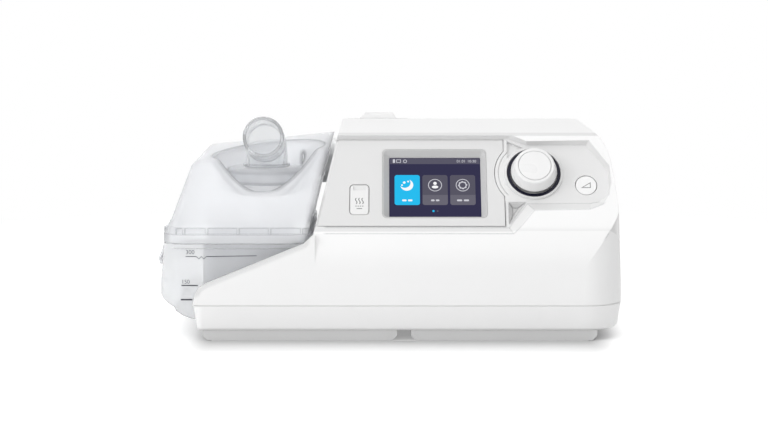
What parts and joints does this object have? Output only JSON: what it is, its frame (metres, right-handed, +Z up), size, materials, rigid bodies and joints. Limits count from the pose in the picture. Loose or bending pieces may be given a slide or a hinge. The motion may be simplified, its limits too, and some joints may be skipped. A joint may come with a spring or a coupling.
{
  "type": "bilevel positive airway pressure machine",
  "caption": "Bedside breathing-pressure machine: white housing with sloped display, push-turn dial and keys, and a clear water chamber with swivel outlet docked at its left.",
  "frame": {"origin": "centre of the footprint on the table, under the feet", "axes": "+X to the user's right along the front, +Y to the rear, +Z up"},
  "size_m": [0.2526, 0.14, 0.1164],
  "materials": {
    "white_shell": "satin",
    "foot_rubber": "matt",
    "fascia_grey": "satin",
    "bezel_grey": "satin",
    "display_glass": "polished",
    "display_panel": "smooth",
    "key_grey": "satin",
    "key_white": "satin",
    "black_plastic": "matt",
    "circuit_board": "satin",
    "encoder_metal": "brushed",
    "knob_white": "satin",
    "ring_navy": "polished",
    "clear_plastic": "polished",
    "clear_baffle": "polished",
    "clear_lid": "polished",
    "clear_latch": "polished",
    "clear_elbow": "polished",
    "seal_rubber": "matt",
    "seal_silicone": "matt",
    "port_rubber": "matt",
    "base_steel": "brushed",
    "pad_felt": "felt",
    "plate_aluminium": "brushed",
    "wheel_plastic": "satin",
    "filter_felt": "felt",
    "card_plastic": "matt"
  },
  "bodies": {
    "main_unit": {"bottom_case": "white_shell", "left_feet": "foot_rubber", "right_feet": "foot_rubber", "upper_case": "white_shell", "control_fascia": "fascia_grey", "display_bezel": "bezel_grey", "display_glass": "display_glass", "display_panel": "display_panel", "button_switches": "black_plastic", "control_board": "circuit_board", "encoder_body": "encoder_metal", "knob_ring": "ring_navy", "heater_pad": "pad_felt", "heater_plate": "plate_aluminium", "port_seal": "port_rubber", "blower_lower_housing": "black_plastic", "blower_upper_housing": "black_plastic", "blower_motor": "encoder_metal", "blower_mounts": "seal_rubber", "outlet_duct": "seal_silicone", "main_board": "circuit_board", "air_filter": "filter_felt", "dc_jack": "black_plastic", "card_socket": "encoder_metal", "case_screws": "base_steel"},
    "encoder_rotor": {"encoder_rotor": "encoder_metal"},
    "knob": {"knob": "knob_white", "knob_disc": "knob_white", "encoder_shaft": "encoder_metal"},
    "ramp_button": {"ramp_button": "key_white"},
    "humidifier_button": {"humidifier_button": "key_grey"},
    "blower_wheel": {"impeller": "wheel_plastic", "motor_shaft": "base_steel"},
    "water_chamber": {"water_tub": "clear_plastic", "latch_catch": "clear_plastic", "tub_base_seal": "seal_rubber", "tub_heat_base": "base_steel", "air_baffle": "clear_baffle", "hinge_pins": "base_steel"},
    "chamber_lid": {"chamber_lid": "clear_lid", "lid_seal": "seal_silicone"},
    "lid_latch": {"lid_latch": "clear_latch"},
    "outlet_elbow": {"outlet_elbow": "clear_elbow", "elbow_seal": "seal_silicone"},
    "filter_cover": {"filter_cover": "white_shell"},
    "memory_card": {"memory_card": "card_plastic"}
  },
  "joints": [
    {"name": "dial_turn", "type": "hinge", "parent": "main_unit", "child": "encoder_rotor", "pos_m": [0.0791, -0.04356, 0.08685], "axis": [0, -0.8339, 0.5519], "continuous": true},
    {"name": "dial_press", "type": "slide", "parent": "encoder_rotor", "child": "knob", "axis": [0, 0.8339, -0.5519], "range_m": [0, 0.0005], "stiffness_N_per_m": 1500, "springref_m": -0.0005},
    {"name": "ramp_press", "type": "slide", "parent": "main_unit", "child": "ramp_button", "axis": [0, 0.8339, -0.5519], "range_m": [0, 0.0008], "stiffness_N_per_m": 1500, "springref_m": -0.0008},
    {"name": "humidifier_press", "type": "slide", "parent": "main_unit", "child": "humidifier_button", "axis": [0, 0.8339, -0.5519], "range_m": [0, 0.0008], "stiffness_N_per_m": 1500, "springref_m": -0.0008},
    {"name": "blower_spin", "type": "hinge", "parent": "main_unit", "child": "blower_wheel", "pos_m": [0.052, 0.016, 0.03], "axis": [0, 0, 1], "continuous": true},
    {"name": "chamber_slide", "type": "slide", "parent": "main_unit", "child": "water_chamber", "axis": [-1, 0, 0], "range_m": [0, 0.14]},
    {"name": "lid_open", "type": "hinge", "parent": "water_chamber", "child": "chamber_lid", "pos_m": [-0.081, 0.0632, 0.0522], "axis": [-1, 0, 0], "range_deg": [0, 100]},
    {"name": "latch_swing", "type": "hinge", "parent": "chamber_lid", "child": "lid_latch", "pos_m": [-0.1214, -0.008, 0.054], "axis": [0, 1, 0], "range_deg": [0, 40], "stiffness_Nm_per_rad": 0.05, "springref_deg": -11.46},
    {"name": "elbow_swivel", "type": "hinge", "parent": "chamber_lid", "child": "outlet_elbow", "pos_m": [-0.0673, 0, 0.087], "axis": [0, 0, 1], "range_deg": [-60, 60]},
    {"name": "filter_cover_pull", "type": "slide", "parent": "main_unit", "child": "filter_cover", "axis": [0, 1, 0], "range_m": [0, 0.03]},
    {"name": "card_pull", "type": "slide", "parent": "main_unit", "child": "memory_card", "axis": [1, 0, 0], "range_m": [0, 0.026]}
  ]
}
